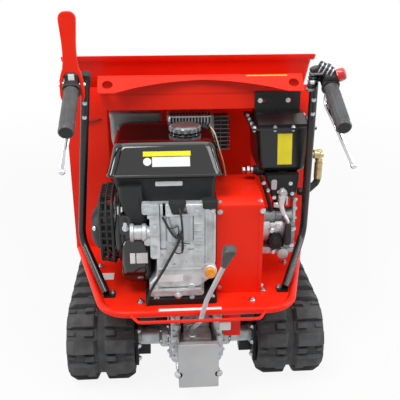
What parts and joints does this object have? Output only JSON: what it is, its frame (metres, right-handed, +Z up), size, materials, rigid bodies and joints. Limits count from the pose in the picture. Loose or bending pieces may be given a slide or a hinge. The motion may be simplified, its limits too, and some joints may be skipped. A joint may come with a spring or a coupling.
{
  "type": "walk-behind tracked dumper",
  "caption": "Walk-behind tracked dumper: rubber tracks, rear petrol engine and controls, and a sheet-steel skip that tips forward on a hydraulic cylinder.",
  "frame": {"origin": "on the ground, under the middle of the machine's overall box", "axes": "+Y forward towards the skip, +X to the operator's right, +Z up"},
  "size_m": [0.7, 1.4634, 1.018],
  "materials": {
    "black_paint": "satin enamel",
    "black_plastic": "moulded, matt",
    "brass": "turned, yellow zinc",
    "cast_aluminium": "as cast",
    "chrome_rod": "polished",
    "filter_grey": "moulded, matt",
    "grey_paint": "satin",
    "grip_rubber": "ribbed, matt",
    "hose_rubber": "braided, matt",
    "red_paint": "gloss enamel",
    "red_plastic": "moulded, gloss",
    "tank_black": "gloss enamel",
    "track_rubber": "moulded, matt",
    "zinc_steel": "zinc plated"
  },
  "bodies": {
    "chassis": {"air_filter": "filter_grey", "belt_cover": "red_paint", "bulkhead": "red_paint", "clutch_lever": "red_paint", "engine_block": "cast_aluminium", "engine_deck": "red_paint", "engine_mount": "black_paint", "fan_housing": "black_plastic", "fuel_cap": "grey_paint", "fuel_tank": "tank_black", "gear_knob": "black_plastic", "gear_lever": "grey_paint", "gearbox": "cast_aluminium", "hose_fitting": "brass", "hydraulic_hose": "hose_rubber", "hydraulic_pump": "cast_aluminium", "hydraulic_valve": "black_paint", "left_axle_tube": "grey_paint", "left_grip": "grip_rubber", "left_handle": "black_paint", "left_idler": "black_paint", "left_rollers": "black_paint", "left_sprocket": "cast_aluminium", "left_steering_lever": "chrome_rod", "left_track": "track_rubber", "left_track_frame": "black_paint", "main_frame": "black_paint", "oil_tank": "black_paint", "oil_tank_bracket": "black_paint", "rear_bumper": "red_paint", "rear_hood": "red_paint", "right_axle_tube": "grey_paint", "right_grip": "grip_rubber", "right_handle": "black_paint", "right_idler": "black_paint", "right_rollers": "black_paint", "right_sprocket": "cast_aluminium", "right_steering_lever": "chrome_rod", "right_track": "track_rubber", "right_track_frame": "black_paint", "shield_plate": "grey_paint", "silencer": "zinc_steel", "silencer_cage": "zinc_steel", "skip_rests": "grip_rubber", "starter_cup": "black_plastic", "tank_cover": "black_plastic", "throttle": "black_plastic", "throttle_knob": "red_plastic"},
    "skip": {"skip_tub": "red_paint", "skip_frame": "red_paint"},
    "barrel": {"cylinder_barrel": "black_paint"},
    "rod": {"cylinder_rod": "chrome_rod"}
  },
  "joints": [
    {"name": "skip_tip", "type": "hinge", "parent": "chassis", "child": "skip", "pos_m": [0, 0.3617, 0.345], "axis": [-1, 0, 0], "range_deg": [0, 65]},
    {"name": "barrel_swing", "type": "hinge", "parent": "chassis", "child": "barrel", "pos_m": [0, -0.2383, 0.256], "axis": [1, 0, 0], "range_deg": [0, 7.83]},
    {"name": "rod_slide", "type": "slide", "parent": "barrel", "child": "rod", "axis": [0, 0.9676, 0.2526], "range_m": [0, 0.1219]}
  ],
  "couplings": [
    {"joint": "barrel_swing", "follows": "skip_tip", "ratio": 0.1127},
    {"joint": "rod_slide", "follows": "skip_tip", "m_per_rad": 0.1057}
  ]
}
